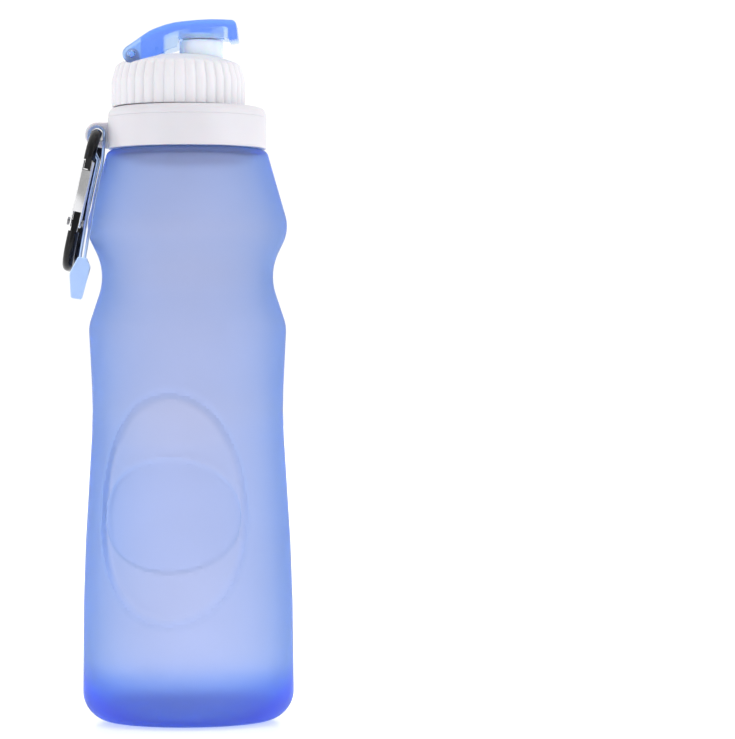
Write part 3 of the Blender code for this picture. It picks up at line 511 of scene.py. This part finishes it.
def panel(place):
    """The moulded ovals on the front: a soft lip, a dished band and a raised pad."""
    radius = math.hypot(place.x, place.y)
    turn = math.atan2(place.x, -place.y) - PANEL_TURN
    if radius < PANEL_RADIUS or abs(turn) > PANEL_HALF_TURN or place.z > PANEL_TOP:
        return place
    across = BODY_RADIUS * turn
    outer = oval_distance(across, place.z, PANEL_OUTER)
    inner = oval_distance(across, place.z, PANEL_INNER)
    dish = smoothstep(-outer, 0.0, DISH_EDGE)
    pad = smoothstep(-inner, -PAD_EDGE, PAD_EDGE)
    rise = LIP * math.exp(-(outer / LIP_WIDTH) ** 2) - DISH * dish * (1.0 - pad) + PAD * pad
    hip_radius, hip_drop = BODY_CORNERS[-1][:2]
    above_hip = max(0.0, place.z - (SHOULDER_Z - hip_drop))
    if radius < hip_radius - SIDE_LEAN * above_hip - BODY_WALL / 2.0:
        rise *= INSIDE_SHARE
    return Vector((place.x * (1.0 + rise / radius), place.y * (1.0 + rise / radius), place.z))


def make_body():
    neck_top = body_high.z
    bore = NECK_RADIUS - BODY_WALL
    inner = [(bore, neck_top, 0.0), (bore, SHOULDER_Z - BODY_WALL, 0.0)]
    inner += body_side(BODY_WALL)
    inner += [(BODY_RADIUS - BODY_WALL, FOOT_WALL, FOOT_INNER_ROUND), (0.0, FOOT_WALL - FLOOR_DISH, 0.0)]
    outer = [(NECK_RADIUS, neck_top, 0.0), (NECK_RADIUS, SHOULDER_Z, 0.0)]
    outer += body_side(0.0)
    outer += [(BODY_RADIUS, 0.0, FOOT_ROUND), (0.0, 0.0, 0.0)]
    inside = resampled(rounded(inner, math.radians(8.0)), 2.0 * MM)
    outside = resampled(rounded(outer, math.radians(4.0)), 1.1 * MM)
    body = turned("bottle_body", list(reversed(inside)) + outside, 240, move=panel)
    show(body, body_silicone, "bottle", "silicone_body")


# ---------------------------------------------------------------- collar and nozzle
def make_collar():
    bore = NECK_RADIUS + GAP
    lip = bore - COLLAR_LIP_REACH
    outside = bore + COLLAR_WALL
    foot = collar_low.z
    top = collar_high.z
    ledge = top - COLLAR_LIP
    seam = top - SEAM_DROP
    profile = rounded([
        (bore, foot, 0.0),
        (bore, ledge, 0.0),
        (lip, ledge, 0.0),
        (lip, top, 0.3 * MM),
        (outside - 0.2 * MM, top, COLLAR_ROUND),
        (outside - 0.1 * MM, seam + SEAM_HALF, 0.05 * MM),
        (outside - SEAM_DEPTH, seam, 0.05 * MM),
        (outside, seam - SEAM_HALF, 0.08 * MM),
        (outside, foot, 0.4 * MM),
    ], math.radians(12.0))
    collar = turned("collar_ring", profile, 160, closed=True)
    root_x = -(outside + bore) / 2.0
    eye = [Vector((root_x, foot + GAP)), Vector((root_x, EYE.z + EYE_RADIUS))]
    eye += arc_points((EYE.x, EYE.z), EYE_RADIUS, math.radians(90.0), math.radians(235.0), 32)
    eye.append(Vector((-outside - EYE_ROUND, foot + GAP)))
    combine(collar, plate("lug", eye, EYE_WIDTH, bevel=EYE_ROUND), "UNION")
    hole = rod("hole", (EYE.x, -5.0 * MM, EYE.z), (EYE.x, 5.0 * MM, EYE.z), EYE_HOLE)
    combine(collar, hole, "DIFFERENCE")
    show(collar, white_plastic, "bottle", "collar")


def make_nozzle():
    """A smooth spout, softly rounded at the top."""
    foot = nozzle_low.z
    top = nozzle_high.z
    nozzle = turned("nozzle_spout", rounded([
        (NOZZLE_BORE, foot, 0.0),
        (NOZZLE_BORE, top, 0.4 * MM),
        (NOZZLE_RADIUS, top, 0.9 * MM),
        (NOZZLE_RADIUS, foot, 0.2 * MM),
    ], math.radians(12.0)), 96, closed=True, centre=(NOZZLE_X, 0.0))
    show(nozzle, milky_silicone, "cap", "nozzle")


# ---------------------------------------------------------------- screw cap
def tail_line(x, drop=0.0):
    """Height of the lid's sloping underside at x, or a drop below it."""
    return PIN_Z + (x - PIN_X) * math.tan(TAIL_SLOPE) - (TAIL_RADIUS + drop) / math.cos(TAIL_SLOPE)


def cap_ribs(place):
    """Push the valleys between the ribs in, fading out under the crown."""
    radius = math.hypot(place.x, place.y)
    fade = smoothstep(CAP_CROWN - RIB_TOP_DROP - place.z, 0.0, RIB_FADE)
    if radius < CAP_RADIUS * 0.6 or fade == 0.0:
        return place
    angle = math.atan2(place.y, place.x)
    dip = fade * RIB_DEPTH * (1.0 - abs(math.cos(angle * CAP_RIBS / 2.0)) ** 0.7)
    return Vector((place.x * (1.0 - dip / radius), place.y * (1.0 - dip / radius), place.z))


def lid_recess():
    """Side view of the room for the lid's tail, open at the top."""
    room = 0.36 * MM
    radius = TAIL_RADIUS + room
    bend_x = NOZZLE_X - NOZZLE_RADIUS - 6.6 * MM
    end_x = bend_x + 3.4 * MM
    recess = arc_points((PIN_X, PIN_Z), radius, math.pi, 1.5 * math.pi + TAIL_SLOPE, 16)
    recess.append(Vector((bend_x, tail_line(bend_x, room))))
    recess.append(Vector((end_x, tail_line(bend_x, room) + 2.1 * MM)))
    recess.append(Vector((end_x, lid_high.z)))
    recess.append(Vector((PIN_X - radius, lid_high.z)))
    return plate("recess", recess, 2.0 * CAP_RADIUS)


def make_cap():
    profile = rounded([
        (0.0, CAP_CROWN, 0.0),
        (CAP_FLAT, CAP_CROWN - CAP_FLAT_DROP, 14.0 * MM),
        (CAP_RADIUS - CAP_BROW_IN, CAP_CROWN - CAP_BROW_DROP, 3.0 * MM),
        (CAP_RADIUS, CAP_FOOT + CAP_SIDE, 5.0 * MM),
        (CAP_RADIUS, CAP_FOOT, 0.35 * MM),
        (0.0, CAP_FOOT, 0.0),
    ], math.radians(5.0))
    side = [point for point in profile if point.x > 0.0]
    profile = [profile[0]] + resampled(side, 1.2 * MM) + [profile[-1]]
    cap = turned("cap_dome", profile, CAP_RIBS * 10, move=cap_ribs, centre=(CAP_X, 0.0))
    ceiling = CAP_FOOT + CAP_CEILING
    bore = rod("bore", (0, 0, CAP_FOOT - PLUG_LENGTH), (0, 0, ceiling), CAP_BORE, 96)
    combine(cap, bore, "DIFFERENCE")
    seat_z = nozzle_low.z - GAP
    seat = rod("seat", (NOZZLE_X, 0, seat_z), (NOZZLE_X, 0, seat_z + 10.0 * MM), NOZZLE_RADIUS + GAP, 64)
    combine(cap, seat, "DIFFERENCE")
    passage = rod("passage", (NOZZLE_X, 0, CAP_FOOT), (NOZZLE_X, 0, seat_z + 1.0 * MM), NOZZLE_BORE, 48)
    combine(cap, passage, "DIFFERENCE")
    combine(cap, lid_recess(), "DIFFERENCE")
    lug = arc_points((PIN_X, PIN_Z), LUG_RADIUS, 0.0, math.pi, 20)
    lug.append(Vector((PIN_X - LUG_RADIUS, CAP_FOOT + 9.0 * MM)))
    lug.append(Vector((PIN_X + LUG_RADIUS, CAP_FOOT + 9.0 * MM)))
    combine(cap, plate("lug", lug, LUG_WIDTH), "UNION")
    hole = rod("lug_hole", (PIN_X, -5.0 * MM, PIN_Z), (PIN_X, 5.0 * MM, PIN_Z), PIN_HOLE, 32)
    combine(cap, hole, "DIFFERENCE")
    show(cap, cap_plastic, "cap", "screw_cap")


def make_plug():
    """The threaded tube under the dome."""
    outside = -gasket_low.x - PLUG_WALL - GAP
    inside = outside - PLUG_WALL
    foot = CAP_FOOT - PLUG_LENGTH
    top = CAP_FOOT + CAP_CEILING - 0.1 * MM
    step = CAP_FOOT + 0.6 * MM
    plug = turned("cap_plug", rounded([
        (inside, foot, 0.4 * MM),
        (inside, top, 0.0),
        (CAP_BORE, top, 0.0),
        (CAP_BORE, step, 0.0),
        (outside, step, 0.0),
        (outside, foot, 0.4 * MM),
    ], math.radians(30.0)), 96, closed=True)
    start = SHOULDER_Z + THREAD_FOOT
    per_turn = 72
    count = round(THREAD_TURNS * per_turn)
    path = []
    for index in range(count + 1):
        angle = 2.0 * math.pi * index / per_turn
        taper = min(1.0, 6.0 * index / count, 6.0 * (count - index) / count)
        radius = outside - THREAD_WIRE + THREAD_PROUD * taper
        height = start + THREAD_PITCH * index / per_turn
        path.append(Vector((radius * math.cos(angle), radius * math.sin(angle), height)))
    ridge = swept("ridge", path, circle(THREAD_WIRE, 14), Vector((0.0, 0.0, 1.0)))
    combine(plug, ridge, "UNION")
    show(plug, cap_plastic, "cap", "screw_cap")


# ---------------------------------------------------------------- flip lid
def lid_outline():
    """Side view of the lid: round tail, humped back, blunt head and flat underside."""
    neck_x = NOZZLE_X - NOZZLE_RADIUS - GAP
    bend_x = neck_x - 7.0 * MM
    tail = arc_points((PIN_X, PIN_Z), TAIL_RADIUS - 0.05 * MM, math.radians(132.0), math.radians(285.5), 24)
    corners = [(x, z, 0.0) for x, z in tail]
    corners += [
        (bend_x, tail_line(bend_x), 0.8 * MM),
        (bend_x + 3.6 * MM, tail_line(bend_x) + 2.2 * MM, 4.0 * MM),
        (neck_x - 0.2 * MM, LID_UNDER - 2.9 * MM, 0.3 * MM),
        (neck_x + 0.1 * MM, LID_UNDER, 0.3 * MM),
        (LID_HEAD_X - 3.4 * MM, LID_UNDER, 1.5 * MM),
        (LID_HEAD_X - 2.6 * MM, LID_UNDER - 1.0 * MM, 0.4 * MM),
        (LID_HEAD_X, LID_UNDER - 0.6 * MM, 0.6 * MM),
        (LID_HEAD_X - 0.7 * MM, LID_TOP - 0.5 * MM, 1.7 * MM),
        (8.5 * MM, LID_TOP, 60.0 * MM),
        (-5.4 * MM, LID_TOP - 1.2 * MM, 30.0 * MM),
        (-12.2 * MM, LID_TOP - 4.0 * MM, 12.0 * MM),
    ]
    return rounded(corners, math.radians(8.0))


def lid_hollow():
    """The pocket in the lid's underside, round the boss that holds the seal."""
    start_x = NOZZLE_X - NOZZLE_RADIUS - 5.0 * MM
    end_x = LID_HEAD_X - 2.0 * LID_WALL
    roof = LID_TOP - 2.4 * MM
    hollow = plate("hollow", rounded([
        (start_x, tail_line(start_x) - 2.0 * MM, 0.0),
        (start_x, roof - 3.2 * MM, 1.0 * MM),
        (start_x + 5.0 * MM, roof - 1.2 * MM, 6.0 * MM),
        (end_x, roof, 0.8 * MM),
        (end_x, LID_UNDER - 3.0 * MM, 0.0),
    ]), LID_WIDTH - 2.0 * LID_WALL)
    boss = rod("boss", (NOZZLE_X, 0, LID_UNDER - 4.0 * MM), (NOZZLE_X, 0, lid_high.z),
               SEAL_RADIUS + 1.5 * MM, 64)
    combine(hollow, boss, "DIFFERENCE")
    return hollow


def make_lid():
    lid = plate("lid_lever", lid_outline(), LID_WIDTH, bevel=0.9 * MM, segments=4, angle=50.0)
    slot_half = LUG_WIDTH / 2.0 + 0.2 * MM
    slot = block("slot", (PIN_X - 10.0 * MM, -slot_half, PIN_Z - 8.0 * MM),
                 (PIN_X + LUG_RADIUS + 0.6 * MM, slot_half, PIN_Z + 10.0 * MM))
    combine(lid, slot, "DIFFERENCE")
    hole = rod("pin_hole", (PIN_X, -LID_WIDTH, PIN_Z), (PIN_X, LID_WIDTH, PIN_Z), PIN_HOLE, 32)
    combine(lid, hole, "DIFFERENCE")
    recess = rod("recess", (NOZZLE_X, 0, LID_UNDER - 1.0 * MM), (NOZZLE_X, 0, seal_high.z + GAP),
                 SEAL_RADIUS + GAP, 64)
    combine(lid, recess, "DIFFERENCE")
    combine(lid, lid_hollow(), "DIFFERENCE")
    dimple_x = NOZZLE_X - NOZZLE_RADIUS - 7.2 * MM
    dimple_z = LID_UNDER - 3.7 * MM
    dimple = rod("dimple", (dimple_x, -LID_WIDTH, dimple_z),
                 (dimple_x, -LID_WIDTH / 2.0 + 0.5 * MM, dimple_z), 0.45 * MM, 24)
    combine(lid, dimple, "DIFFERENCE")
    show(lid, lid_plastic, "lid", "flip_lid")


# ---------------------------------------------------------------- strap
def strap_place(local):
    """From the strap's own axes, down and aside of the top bar, to the bottle's."""
    sweep = min(max(0.0, -local.z - STRAP_SWEEP_START), STRAP_SWEEP_LENGTH) * math.tan(STRAP_SWEEP)
    swung = Matrix.Rotation(STRAP_LEAN, 4, "Y") @ Vector((local.x, local.y - sweep, local.z))
    return EYE + Vector((0.0, STRAP_Y, 0.0)) + swung


def strap_tab():
    top = -STRAP_DROP + 0.9 * MM
    tab = plate("strap_tab", rounded([
        (STRAP_ASIDE - TAB_WIDTH * 0.22, top, 0.5 * MM),
        (STRAP_ASIDE - TAB_WIDTH * 0.52, top - TAB_LENGTH * 0.42, 3.0 * MM),
        (STRAP_ASIDE - TAB_WIDTH * 0.25, top - TAB_LENGTH, 0.8 * MM),
        (STRAP_ASIDE + TAB_WIDTH * 0.30, top - TAB_LENGTH, 0.8 * MM),
        (STRAP_ASIDE + TAB_WIDTH * 0.48, top - TAB_LENGTH * 0.2, 2.0 * MM),
        (STRAP_ASIDE + TAB_WIDTH * 0.22, top, 0.5 * MM),
    ], math.radians(15.0)), TAB_THICKNESS, bevel=0.7 * MM, segments=4)
    for vertex in tab.data.vertices:
        vertex.co = strap_place(vertex.co.copy())
    return tab


def make_strap():
    """A loop over the top bar whose strands come together and hang down to the tab."""
    loop_radius = BAR + GAP + STRAP_THICKNESS / 2.0
    right_x = STRAP_ASIDE + STRAND_HALF_SPACE
    left_x = STRAP_ASIDE - STRAND_HALF_SPACE
    loop_foot = -0.2 * MM
    right = rounded([(right_x, -STRAP_DROP, 0.0), (right_x, -STRAP_MEET, 18.0 * MM),
                     (loop_radius, loop_foot, 0.0)], math.radians(3.0))
    loop = arc_points((0.0, 0.0), loop_radius, 0.0, math.pi, 24)
    left = rounded([(-loop_radius, loop_foot, 0.0), (-loop_radius, -STRAP_STRAIGHT, 1.0 * MM),
                    (left_x, -STRAP_MEET, 2.0 * MM), (left_x, -STRAP_DROP, 0.0)], math.radians(6.0))
    flat = resampled(right + loop + left, 1.2 * MM)
    path = [strap_place(Vector((x, 0.0, z))) for x, z in flat]
    corner = 0.38 * MM
    side = STRAP_BAND / 2.0
    face = STRAP_THICKNESS / 2.0
    section = rounded([(-side, -face, corner), (side, -face, corner), (side, face, corner),
                       (-side, face, corner)], math.radians(30.0))
    strap = swept("strap_band", path, [tuple(point) for point in section], Vector((0.0, 1.0, 0.0)))
    combine(strap, strap_tab(), "UNION")
    show(strap, strap_silicone, "strap", "strap")


# ---------------------------------------------------------------- carabiner and gate
def make_carabiner(hang):
    line = rounded([
        (-HALF, -NOSE_END, 0.0),
        (-HALF, 0.0, CARABINER_BEND),
        (HALF, 0.0, CARABINER_BEND),
        (HALF, -CARABINER_DROP, CARABINER_BEND),
        (-HALF, -CARABINER_DROP, CARABINER_BEND),
        (-HALF, -LEG_END, 0.0),
    ], math.radians(5.0))
    path = [Vector((0.0, y, z)) for y, z in line]
    bar = swept("carabiner_bar", path, circle(BAR, 32), Vector((1.0, 0.0, 0.0)))
    outer = -GATE_OUT + CHEEK + GAP
    inner = -HALF + BAR
    nose = block("nose", (-TONGUE_HALF, outer, -12.3 * MM), (TONGUE_HALF, inner, -NOSE_END + 1.0 * MM))
    combine(bar, nose, "UNION")
    leg = block("leg", (-TONGUE_HALF, outer, -LEG_END - 1.0 * MM), (TONGUE_HALF, inner, -26.8 * MM))
    combine(bar, leg, "UNION")
    soften(bar, 0.22 * MM, 3, 40.0)
    bar.data.transform(hang)
    show(bar, anodised, "carabiner", "carabiner_frame")


def make_gate(hang):
    """A folded channel whose cheeks are longer than its web, with holes for its two pins."""
    gate = block("gate_channel", (-BAR, -GATE_OUT, -GATE_FOOT), (BAR, -HALF + 1.75 * MM, -GATE_TOP))
    soften(gate, 0.45 * MM, 4, 40.0)
    inside = BAR - CHEEK
    past = 20.0 * MM
    far = -40.0 * MM
    for name, low, high in (
        ("channel", (-inside, -GATE_OUT + CHEEK, far), (inside, 0.0, 0.0)),
        ("top", (-inside, -past, -WEB_TOP), (inside, -HALF, 0.0)),
        ("foot", (-inside, -past, far), (inside, -HALF, -WEB_FOOT)),
    ):
        combine(gate, block(name, low, high), "DIFFERENCE")
    for y, drop, radius in ((-10.6 * MM, 30.5 * MM, 0.9 * MM), (-HALF, 13.0 * MM, 0.7 * MM)):
        hole = rod("hole", (-4.0 * MM, y, -drop), (4.0 * MM, y, -drop), radius, 24)
        combine(gate, hole, "DIFFERENCE")
    soften(gate, 0.1 * MM, 2, 50.0)
    gate.data.transform(hang)
    show(gate, steel, "gate", "gate")


# ---------------------------------------------------------------- stage, light and camera
FLOOR_DROP = 0.2 * MM           # the floor lies this far under the bottle
FLOOR_GLOW = 0.40
BACKDROP = 1.05                 # brightness of the background itself
SURROUND = 1.1                  # brightness of the room that lights the bottle, and its share
SURROUND_FRONT = 0.48           # in front, at the sides and behind
SURROUND_SIDES = 1.2
SURROUND_BEHIND = 0.95
SIDES_AT = 0.52                 # where the sides lie, from 0 in front to 1 behind
AIM = Vector((0.0, 0.0, 0.12))  # point that the lights face


def make_floor():
    made = bmesh.new()
    bmesh.ops.create_grid(made, x_segments=1, y_segments=1, size=6.0)
    mesh = bpy.data.meshes.new("floor")
    made.to_mesh(mesh)
    made.free()
    floor = bpy.data.objects.new("floor", mesh)
    floor.location.z = -FLOOR_DROP
    bpy.context.scene.collection.objects.link(floor)
    pale = Surface("pale_floor", (0.93, 0.935, 0.95), 0.22, IOR=1.35, Emission_Color=(1.0, 1.0, 1.0, 1.0),
                   Emission_Strength=FLOOR_GLOW)
    pale.mottled(4.0, 0.005)
    mesh.materials.append(pale.material)


def make_world():
    """A white backdrop, and a room round the bottle that is brightest at the sides."""
    world = bpy.data.worlds.new("studio")
    bpy.context.scene.world = world
    world.use_nodes = True
    tree = world.node_tree
    backdrop = tree.nodes["Background"]
    backdrop.inputs["Color"].default_value = (1.0, 1.0, 1.0, 1.0)
    backdrop.inputs["Strength"].default_value = BACKDROP
    surround = tree.nodes.new("ShaderNodeBackground")
    coordinates = tree.nodes.new("ShaderNodeTexCoord")
    split = tree.nodes.new("ShaderNodeSeparateXYZ")
    tree.links.new(coordinates.outputs["Generated"], split.inputs["Vector"])
    ramp = tree.nodes.new("ShaderNodeValToRGB")
    elements = ramp.color_ramp.elements
    elements.new(SIDES_AT)
    levels = (SURROUND_FRONT, SURROUND_SIDES, SURROUND_BEHIND)
    for element, position, level in zip(elements, (0.0, SIDES_AT, 1.0), levels):
        element.position = position
        element.color = (level, level, level, 1.0)
    reach = tree.nodes.new("ShaderNodeMapRange")
    reach.inputs["From Min"].default_value = -1.0
    reach.inputs["From Max"].default_value = 1.0
    tree.links.new(split.outputs["Y"], reach.inputs["Value"])
    tree.links.new(reach.outputs["Result"], ramp.inputs["Fac"])
    tree.links.new(ramp.outputs["Color"], surround.inputs["Color"])
    surround.inputs["Strength"].default_value = SURROUND
    rays = tree.nodes.new("ShaderNodeLightPath")
    mix = tree.nodes.new("ShaderNodeMixShader")
    tree.links.new(rays.outputs["Is Camera Ray"], mix.inputs["Fac"])
    tree.links.new(surround.outputs["Background"], mix.inputs[1])
    tree.links.new(backdrop.outputs["Background"], mix.inputs[2])
    tree.links.new(mix.outputs["Shader"], tree.nodes["World Output"].inputs["Surface"])


def softbox(name, turn, height, distance, size, power):
    """An area light round the bottle, its turn counted from the front towards +X."""
    light = bpy.data.lights.new(name, "AREA")
    light.shape = "RECTANGLE"
    light.size, light.size_y = size
    light.energy = power
    item = bpy.data.objects.new(name, light)
    turn = math.radians(turn)
    item.location = AIM + Vector((distance * math.sin(turn), -distance * math.cos(turn), height))
    item.rotation_mode = "QUATERNION"
    item.rotation_quaternion = (AIM - item.location).to_track_quat("-Z", "Y")
    bpy.context.scene.collection.objects.link(item)


def make_camera():
    """Level with the middle of the bottle, which stands left of the picture's centre."""
    camera = bpy.data.cameras.new("camera")
    camera.lens = 164.9
    camera.sensor_width = 36.0
    item = bpy.data.objects.new("camera", camera)
    item.location = (60.5 * MM, -1140.0 * MM, 117.75 * MM)
    item.rotation_euler = (math.radians(90.0), math.radians(0.15), 0.0)
    bpy.context.scene.collection.objects.link(item)
    bpy.context.scene.camera = item


make_camera()
bpy.context.scene.view_settings.view_transform = "Standard"
make_floor()
make_world()
softbox("key_right", 62.0, 0.35, 0.9, (0.35, 0.8), 1.6)
softbox("fill_left", -46.0, 0.20, 0.9, (0.3, 0.8), 1.1)
softbox("top", 15.0, 1.1, 0.25, (0.8, 0.8), 0.6)

make_body()
make_collar()
make_cap()
make_plug()
make_nozzle()
make_lid()
make_strap()
carabiner_place = Matrix.Translation(EYE) @ Matrix.Rotation(CARABINER_LEAN, 4, "Y")
make_carabiner(carabiner_place)
make_gate(carabiner_place)
for node, surface in (
    ("neck_insert", white_plastic),
    ("cap_gasket", milky_silicone),
    ("lid_seal", milky_silicone),
    ("lid_pin", pin_plastic),
    ("gate_rivet", rivet_steel),
    ("gate_catch_pin", steel),
    ("gate_spring", steel),
):
    paint(nodes[node], surface)
